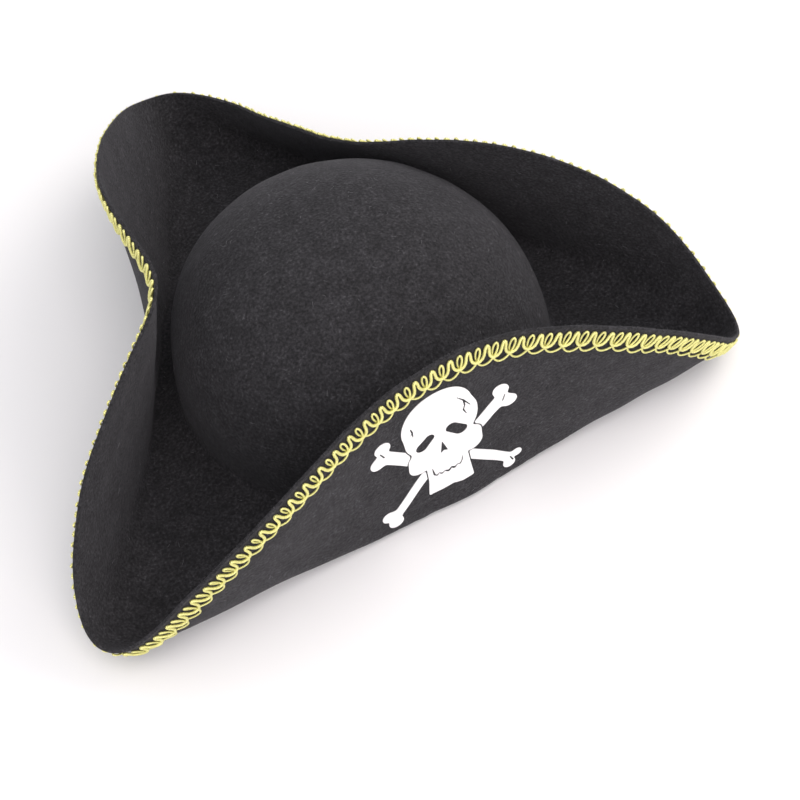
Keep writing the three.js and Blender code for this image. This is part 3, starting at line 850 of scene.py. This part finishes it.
def skull_outline(x, y):
    cranium = taper(x, y, (-0.6, 26.2), (0.6, 18.5), 19.6, 20.5)
    left_cheek = taper(x, y, (-13.2, 1), (-14, -4.2), 6.9, 6.6)
    right_cheek = taper(x, y, (14, -2), (14, -8), 6.6, 6.2)
    jaw = [(-10.6, 2), (-10.9, -22), (-12.3, -32.8), (-6, -32.5), (0, -31.6), (5, -33.6)]
    jaw += [(10.5, -33.8), (10.1, -22), (9.9, 2)]
    head = melt(cranium, np.minimum(left_cheek, right_cheek), 3)
    return melt(head, polygon(x, y, jaw) - 0.9, 1.2)


def skull_figure(x, y):
    figure = skull_outline(x, y)
    mouth = [(-8.8, -12.4), (-8.4, -18.2), (-7.2, -19.6), (-6, -18), (-4.6, -19.8), (-2.8, -18.6)]
    mouth += [(-1, -20.2), (0.8, -18.6), (2.4, -20.2), (4, -18.9), (5.6, -19.8), (7, -17.6)]
    mouth += [(7.6, -14.6)]
    ragged = [0.2, 0.55, 0.5, 0.3, 0.6, 0.4, 0.85, 0.6, 0.8, 0.35, 0.5, 0.4, 0.2]
    holes = [
        taper(x, y, (-6.7, 13.2), (-11.2, 9.9), 2.9, 3.5),
        taper(x, y, (5.6, 12.6), (10.2, 6.6), 3.2, 3.4),
        polygon(x, y, [(-0.8, 5.2), (1.1, -3.6), (-0.7, -2.2), (-2.6, -3.2)]) - 0.2,
        slit(x, y, mouth, ragged),
        slit(x, y, [(11, 33.4), (14.4, 28.2), (17.8, 20.4)], [0.2, 0.45, 0.2]),
        slit(x, y, [(14.4, 28.2), (14.6, 23.6), (13.4, 20.8), (14.7, 16.2)], [0.4, 0.5, 0.45, 0.2]),
        slit(x, y, [(-14.8, 29), (-14.3, 25.8), (-14.5, 22)], [0.3, 0.5, 0.2]),
        slit(x, y, [(-14.3, 25.8), (-16.1, 23.6)], [0.4, 0.15]),
    ]
    for hole in holes:
        figure = np.maximum(figure, -hole)
    return figure


def bone_figure(x, y, bone):
    figure = taper(x, y, bone.start, bone.end, bone.half, bone.half)
    for knob_x, knob_y, radius in bone.knobs:
        figure = melt(figure, disc(x, y, (knob_x, knob_y), radius), 2.5)
    if bone.dash:
        figure = np.maximum(figure, -slit(x, y, bone.dash, [0.35, 0.45]))
    return np.maximum(figure, BONE_GAP - skull_outline(x, y))


def figure_mesh(figure, low, high):
    """Flat mesh of where a figure is negative: whole cells inside, cut cells on its outline."""
    xs = np.arange(low[0], high[0], FIGURE_STEP)
    ys = np.arange(low[1], high[1], FIGURE_STEP)
    x, y = np.meshgrid(xs, ys, indexing="ij")
    value = figure(x, y)
    value[np.abs(value) < LEAST_VALUE] = LEAST_VALUE
    verts, index, faces = [], {}, []

    def corner(i, j):
        if (i, j) not in index:
            index[(i, j)] = len(verts)
            verts.append((x[i, j], y[i, j]))
        return index[(i, j)]

    def crossing(a, b):
        key = (a, b) if a < b else (b, a)
        if key not in index:
            (p, q), (va, vb) = key, (value[key[0]], value[key[1]])
            share = va / (va - vb)
            index[key] = len(verts)
            verts.append((x[p] + (x[q] - x[p]) * share, y[p] + (y[q] - y[p]) * share))
        return index[key]

    inside = value < 0
    for i in range(len(xs) - 1):
        for j in range(len(ys) - 1):
            cells = [(i, j), (i + 1, j), (i + 1, j + 1), (i, j + 1)]
            flags = [inside[c] for c in cells]
            if not any(flags):
                continue
            if all(flags):
                faces.append([corner(*c) for c in cells])
                continue
            ring = []
            for k in range(4):
                here, there = cells[k], cells[(k + 1) % 4]
                if flags[k]:
                    ring.append(corner(*here))
                if flags[k] != flags[(k + 1) % 4]:
                    ring.append(crossing(here, there))
            faces.append(ring)
    return np.array(verts), faces


class HAT_OT_emblem(bpy.types.Operator):
    """Makes the emblem's skull and four bone ends as thin film pressed onto the front"""

    bl_idname = "hat.emblem"
    bl_label = "Emblem"

    def drape(self, tree, figure, low, high, film):
        flat, faces = figure_mesh(figure, low, high)
        c, s = math.cos(math.radians(EMBLEM_TILT)), math.sin(math.radians(EMBLEM_TILT))
        x = EMBLEM_AT[0] + flat[:, 0] * c - flat[:, 1] * s
        z = EMBLEM_AT[1] + flat[:, 0] * s + flat[:, 1] * c
        front, back = np.empty((len(flat), 3)), np.empty((len(flat), 3))
        for k in range(len(flat)):
            start = Vector((x[k], -OUTSIDE, z[k]))
            hit, normal, _, _ = tree.ray_cast(start, Vector((0, 1, 0)))
            if hit is None:
                raise ValueError("the emblem runs off the front of the felt")
            if normal.y > 0:
                normal = -normal
            front[k] = hit + normal * film
            back[k] = hit + normal * FILM_SINK
        count = len(flat)
        edges = {}
        for f in faces:
            for a, b in zip(f, f[1:] + f[:1]):
                if (b, a) in edges:
                    del edges[(b, a)]
                else:
                    edges[(a, b)] = True
        walls = [[b, a, a + count, b + count] for a, b in edges]
        under = [[v + count for v in reversed(f)] for f in faces]
        return np.concatenate([front, back]), faces + under + walls

    def execute(self, context):
        shell = FeltShell()
        tree = shell.outer_tree()
        film = context.scene.hat_emblem.film / MM
        look = white_film()
        verts, faces = self.drape(tree, skull_figure, (-24, -38), (25, 48), film)
        make_piece("skull_film", verts, faces, look, ["skull"], sharp=40)
        for bone in BONES:
            low = [min(a, b) - FIGURE_REACH for a, b in zip(bone.start, bone.end)]
            high = [max(a, b) + FIGURE_REACH for a, b in zip(bone.start, bone.end)]
            figure = lambda x, y, bone=bone: bone_figure(x, y, bone)
            verts, faces = self.drape(tree, figure, low, high, film)
            make_piece(bone.name + "_film", verts, faces, look, [bone.name], sharp=40)
        return {"FINISHED"}


# ---- sweatband ----
BAND_FROM = 15.0  # lower edge above the folds
BACK = math.radians(100)  # where its ends lap
BAND_GAP = 0.25  # between the felt and the ribbon
SLACK = 0.35  # how far its free upper edge stands off in its waves
SEAM_FROM = 1.3  # the zigzag's lower points above the ribbon's lower edge
SEAM_HEIGHT = 2.6
SEAM_START = 0.12  # the stitching starts this far past the lap, in radians


def inside_crown(shell, angles, heights, off):
    """Points on the crown's inner wall, off inwards from the felt, and directions inwards."""
    rows = slice(0, CROWN_ROWS + 1)
    z = shell.middle[:, rows, 2][:, ::-1]
    foot = shell.middle[:, CROWN_ROWS]
    station = np.arctan2(foot[:, 1], foot[:, 0]) % (2 * np.pi)
    order = np.argsort(station)
    grid = shell.face(-shell.half)[:, rows][:, ::-1][order]
    inward = -shell.normal[:, rows][:, ::-1][order]
    z, station = z[order], station[order]
    station = np.concatenate([station[-1:] - 2 * np.pi, station, station[:1] + 2 * np.pi])
    points, ins = [], []
    for source, result in ((grid, points), (inward, ins)):
        at_height = np.stack(
            [
                [np.interp(heights, z[i], source[i, :, k]) for k in range(3)]
                for i in range(len(source))
            ]
        )
        at_height = np.concatenate([at_height[-1:], at_height, at_height[:1]])
        turn = angles % (2 * np.pi)
        for k in range(3):
            levels = [np.interp(turn, station, at_height[:, k, h]) for h in range(len(heights))]
            result.append(np.stack(levels, -1))
    points, ins = np.stack(points, -1), unit(np.stack(ins, -1))
    return points + ins * off[..., None], ins


class HAT_OT_band(bpy.types.Operator):
    """Makes the grosgrain sweatband inside the crown, its ends lapped at the back"""

    bl_idname = "hat.band"
    bl_label = "Sweatband"

    def execute(self, context):
        settings = context.scene.hat_band
        shell = FeltShell()
        width, thick = settings.width / MM, settings.thickness / MM
        felt = context.scene.hat_felt
        girth = math.pi * (felt.crown_half_width + felt.crown_half_depth) / MM
        lap = settings.lap / MM / girth * 2 * math.pi
        count, rows = 560, 17
        turn = np.linspace(0, 2 * np.pi + lap, count)
        angles = BACK + turn
        heights = BAND_FROM + np.linspace(0, width, rows)
        over = np.clip((turn - 2 * np.pi + lap) / lap, 0, 1)
        climb = thick + BAND_GAP
        base = BAND_GAP + climb * over * over * (3 - 2 * over)
        waves = SLACK * (1 + np.sin(7 * turn + 0.6) * np.sin(3 * turn))
        off = base[:, None] + waves[:, None] * np.linspace(0, 1, rows) ** 2
        near, _ = inside_crown(shell, angles, heights, off)
        far, _ = inside_crown(shell, angles, heights, off + thick)
        n = count * rows
        front = grid_faces(count, rows, False)
        back = front[:, ::-1] + n
        rim = [i * rows for i in range(count)] + [(count - 1) * rows + j for j in range(1, rows)]
        rim += [i * rows + rows - 1 for i in range(count - 2, -1, -1)] + list(range(rows - 2, 0, -1))
        wall = [[a, b, b + n, a + n] for a, b in zip(rim, rim[1:] + rim[:1])]
        verts = np.concatenate([near.reshape(-1, 3), far.reshape(-1, 3)])
        faces = np.concatenate([front, back, np.array(wall)])
        if volume(verts, faces) < 0:
            faces = faces[:, ::-1]
        along = turn / (2 * np.pi) * girth
        flat_uv = np.stack([np.repeat(along, rows), np.tile(heights, count)], -1)
        uv = np.concatenate([flat_uv, flat_uv])[faces.ravel()]
        look = black_grosgrain()
        replaced, slot = ["sweatband"], "black_ribbon"
        piece = make_piece("sweatband_ribbon", verts, faces, look, replaced, uv, 50)
        return {"FINISHED"}


class HAT_OT_thread(bpy.types.Operator):
    """Makes the zigzag stitching that holds the sweatband to the felt"""

    bl_idname = "hat.thread"
    bl_label = "Zigzag stitching"

    def execute(self, context):
        settings = context.scene.hat_thread
        band = context.scene.hat_band
        shell = FeltShell()
        felt = context.scene.hat_felt
        girth = math.pi * (felt.crown_half_width + felt.crown_half_depth)
        stitches = 2 * round(girth / settings.stitch / 2)
        steps = 8
        t = np.arange(stitches * steps) / steps
        side = 2 * np.abs((t / 2) % 1 - 0.5)
        heights = BAND_FROM + SEAM_FROM + SEAM_HEIGHT * side
        dip = np.abs(np.sin(np.pi * t))
        radius = settings.thickness / MM / 2
        off = BAND_GAP + band.thickness / MM + radius * (2.4 * dip - 0.9)
        angles = BACK + SEAM_START + 2 * np.pi * t / stitches
        levels = BAND_FROM + np.linspace(0, 8, 9)
        no_gap = np.zeros((len(angles), len(levels)))
        grid, inward = inside_crown(shell, angles, levels, no_gap)
        level = np.clip((heights - levels[0]) / (levels[1] - levels[0]), 0, len(levels) - 1.001)
        k = level.astype(int)
        part = (level - k)[:, None]
        row = np.arange(len(angles))
        points = grid[row, k] * (1 - part) + grid[row, k + 1] * part
        out = inward[row, k]
        points = points + out * off[:, None]
        verts, faces, uv = tube(points, out, radius, 6, True, 2, 0.9, 0.08)
        look = sewing_thread()
        replaced, slot = ["sweatband_thread"], "black_thread"
        make_piece("sweatband_zigzag_thread", verts, faces, look, replaced, uv)
        return {"FINISHED"}


# ---- lint and fuzz ----
LINT_RADIUS = 0.05
FUZZ_RADIUS = 0.035
FUZZ_ROOT = 0.2  # the fuzz starts this far out of the felt's end


def fibres(starts, aheads, ups, sizes, radius, lift, rng):
    """Many short curved fibres as one mesh: three-sided tubes that arch over the felt."""
    count, segments, sides = len(starts), 5, 3
    share = np.linspace(0, 1, segments)[None, :, None]
    across = np.cross(aheads, ups)
    curl = rng.normal(0, 0.35, (count, 1, 1))
    points = starts[:, None] + aheads[:, None] * sizes[:, None, None] * share
    points = points + across[:, None] * sizes[:, None, None] * curl * share**2
    points = points + ups[:, None] * (lift[:, None, None] * np.sin(np.pi * share) + radius)
    turn = 2 * np.pi * np.arange(sides) / sides
    ring = np.cos(turn)[None, None, :, None] * ups[:, None, None]
    ring = ring + np.sin(turn)[None, None, :, None] * across[:, None, None]
    width = radius * (1 - 0.6 * share[..., None] ** 2)
    verts = (points[:, :, None] + ring * width).reshape(-1, 3)
    i = np.arange(count)[:, None, None] * segments * sides
    j = np.arange(segments - 1)[None, :, None] * sides
    k = np.arange(sides)[None, None, :]
    l = (k + 1) % sides
    faces = np.stack([i + j + k, i + j + l, i + j + sides + l, i + j + sides + k], -1).reshape(-1, 4)
    base = np.arange(count) * segments * sides
    last = base + (segments - 1) * sides
    caps = np.stack([base + 2, base + 1, base], -1).tolist()
    caps += np.stack([last, last + 1, last + 2], -1).tolist()
    return verts, faces.tolist() + caps


class HAT_OT_lint(bpy.types.Operator):
    """Makes the loose fibres on the felt and the fuzz of its cut edge"""

    bl_idname = "hat.lint"
    bl_label = "Lint and fuzz"

    def execute(self, context):
        settings = context.scene.hat_lint
        shell = FeltShell()
        rng = np.random.default_rng(21)
        n, m = shell.middle.shape[:2]
        station = rng.integers(0, n, settings.lint)
        row = rng.integers(6, m - 12, settings.lint)
        side = rng.choice([1.0, -1.0], settings.lint, p=[0.7, 0.3])
        side[row < CROWN_ROWS + JOIN_ROWS] = 1
        ups = shell.normal[station, row] * side[:, None]
        starts = shell.middle[station, row] + ups * shell.half
        any_way = rng.normal(size=(settings.lint, 3))
        aheads = unit(np.cross(any_way, ups))
        sizes = rng.uniform(0.8, 3.2, settings.lint)
        lift = rng.uniform(0.02, 0.25, settings.lint)
        verts, faces = fibres(starts, aheads, ups, sizes, LINT_RADIUS, lift, rng)
        look = loose_fibre("Pale lint fibre", "#8d8b90")
        make_piece("loose_lint", verts, faces, look, ())
        station = rng.integers(0, n, settings.fuzz)
        out = unit(shell.middle[station, -1] - shell.middle[station, -2])
        across = shell.normal[station, -1] * rng.uniform(-0.9, 0.9, (settings.fuzz, 1)) * shell.half
        starts = shell.middle[station, -1] + across + out * FUZZ_ROOT
        onward = shell.middle[(station + 1) % n, -1] - shell.middle[station, -1]
        starts += onward * rng.uniform(0, 1, (settings.fuzz, 1))
        aheads = unit(out + rng.normal(0, 0.7, (settings.fuzz, 3)))
        ups = unit(np.cross(aheads, rng.normal(size=(settings.fuzz, 3))))
        sizes = rng.uniform(0.4, 1.3, settings.fuzz)
        lift = rng.uniform(0, 0.2, settings.fuzz)
        verts, faces = fibres(starts, aheads, ups, sizes, FUZZ_RADIUS, lift, rng)
        look = loose_fibre("Dark felt fibre", "#4a494c")
        make_piece("edge_fuzz", verts, faces, look, ())
        return {"FINISHED"}


# ---- stage ----
AIM = np.array([5.470, -92.358, 37.427])  # the camera's aim in the row frame, in millimetres
LIT_POINT = (0, 0, 0.03)  # what the lights face
FLOOR_HALF = 6.0
FLOOR_DROP = 0.0005  # the floor is this far under the felt's lowest true point
SKY_POWER = 0.85
SENSOR = 36  # width of the camera's sensor, in millimetres

Softbox = namedtuple("Softbox", "name place size power colour")
SOFTBOXES = (
    Softbox("key_softbox", (1.6, 0.0, 1.3), 1.3, 16, "#fff8f2"),
    Softbox("front_fill", (-0.3, -1.8, 1.0), 1.5, 16, "#fff6f6"),
    Softbox("top_fill", (-0.3, -0.9, 2.4), 1.6, 18, "#fff6f6"),
)


class HAT_OT_stage(bpy.types.Operator):
    """Makes the pale floor, the soft lights, the surroundings and the camera"""

    bl_idname = "hat.stage"
    bl_label = "Stage"

    def light(self, softbox):
        data = bpy.data.lights.new(softbox.name, "AREA")
        data.shape = "SQUARE"
        data.size = softbox.size
        data.energy = softbox.power
        data.color = linear(softbox.colour)[:3]
        lamp = bpy.data.objects.new(softbox.name, data)
        lamp.location = softbox.place
        lamp.rotation_mode = "QUATERNION"
        ahead = Vector(LIT_POINT) - Vector(softbox.place)
        lamp.rotation_quaternion = ahead.to_track_quat("-Z", "Y")
        bpy.context.scene.collection.objects.link(lamp)

    def floor(self):
        mesh = bpy.data.meshes.new("floor")
        turns = ((-1, -1), (1, -1), (1, 1), (-1, 1))
        corners = [(x * FLOOR_HALF, y * FLOOR_HALF, -FLOOR_DROP) for x, y in turns]
        mesh.from_pydata(corners, [], [(0, 1, 2, 3)])
        mesh.materials.append(floor_paper())
        floor = bpy.data.objects.new("floor", mesh)
        bpy.context.scene.collection.objects.link(floor)

    def surroundings(self):
        world = bpy.data.worlds.new("Soft white surroundings")
        bpy.context.scene.world = world
        world.use_nodes = True
        tree = world.node_tree
        tree.nodes.clear()
        sky = {"Color": linear("#f4f6fa"), "Strength": SKY_POWER}
        background = add(tree, "ShaderNodeBackground", sky)
        add(tree, "ShaderNodeOutputWorld", {}, {"Surface": background.outputs[0]})

    def execute(self, context):
        settings = context.scene.hat_stage
        self.floor()
        self.surroundings()
        for softbox in SOFTBOXES:
            self.light(softbox)
        a, e, roll = settings.azimuth, settings.elevation, settings.roll
        back = Vector((math.sin(a) * math.cos(e), -math.cos(a) * math.cos(e), math.sin(e)))
        right = Vector((math.cos(a), math.sin(a), 0))
        up = back.cross(right)
        across = right * math.cos(roll) + up * math.sin(roll)
        upright = up * math.cos(roll) - right * math.sin(roll)
        data = bpy.data.cameras.new("camera")
        data.lens = settings.lens
        data.sensor_width = SENSOR
        data.clip_start, data.clip_end = 0.01, 50
        camera = bpy.data.objects.new("camera", data)
        turn = Matrix((across, upright, back)).transposed().to_4x4()
        camera.matrix_world = Matrix.Translation(Vector(AIM * MM) + back * settings.distance) @ turn
        context.scene.collection.objects.link(camera)
        context.scene.camera = camera
        context.scene.view_settings.view_transform = "Standard"
        return {"FINISHED"}


class HAT_PT_panel(bpy.types.Panel):
    """Settings and buttons of the hat"""

    bl_idname = "HAT_PT_panel"
    bl_label = "Pirate Hat"
    bl_space_type = "VIEW_3D"
    bl_region_type = "UI"
    bl_category = "Pirate Hat"

    def draw(self, context):
        for piece in SETTINGS:
            box = self.layout.box()
            box.operator("hat." + piece)
            group = getattr(context.scene, "hat_" + piece)
            for name in group.bl_rna.properties.keys():
                if name not in {"rna_type", "name"}:
                    box.prop(group, name)


SETTINGS = {
    "felt": HatFeltSettings,
    "braid": HatBraidSettings,
    "emblem": HatEmblemSettings,
    "band": HatBandSettings,
    "thread": HatThreadSettings,
    "lint": HatLintSettings,
    "stage": HatStageSettings,
}
OTHER_CLASSES = (
    HAT_OT_felt,
    HAT_OT_braid,
    HAT_OT_emblem,
    HAT_OT_band,
    HAT_OT_thread,
    HAT_OT_lint,
    HAT_OT_stage,
    HAT_PT_panel,
)


def register():
    for piece, group in SETTINGS.items():
        bpy.utils.register_class(group)
        setattr(bpy.types.Scene, "hat_" + piece, PointerProperty(type=group))
    for item in OTHER_CLASSES:
        bpy.utils.register_class(item)


def unregister():
    for item in reversed(OTHER_CLASSES):
        bpy.utils.unregister_class(item)
    for piece, group in reversed(SETTINGS.items()):
        delattr(bpy.types.Scene, "hat_" + piece)
        bpy.utils.unregister_class(group)


def main():
    register()
    bpy.ops.hat.stage()
    bpy.ops.hat.felt()
    bpy.ops.hat.braid()
    bpy.ops.hat.emblem()
    bpy.ops.hat.band()
    bpy.ops.hat.thread()
    bpy.ops.hat.lint()


if __name__ == "__main__":
    main()
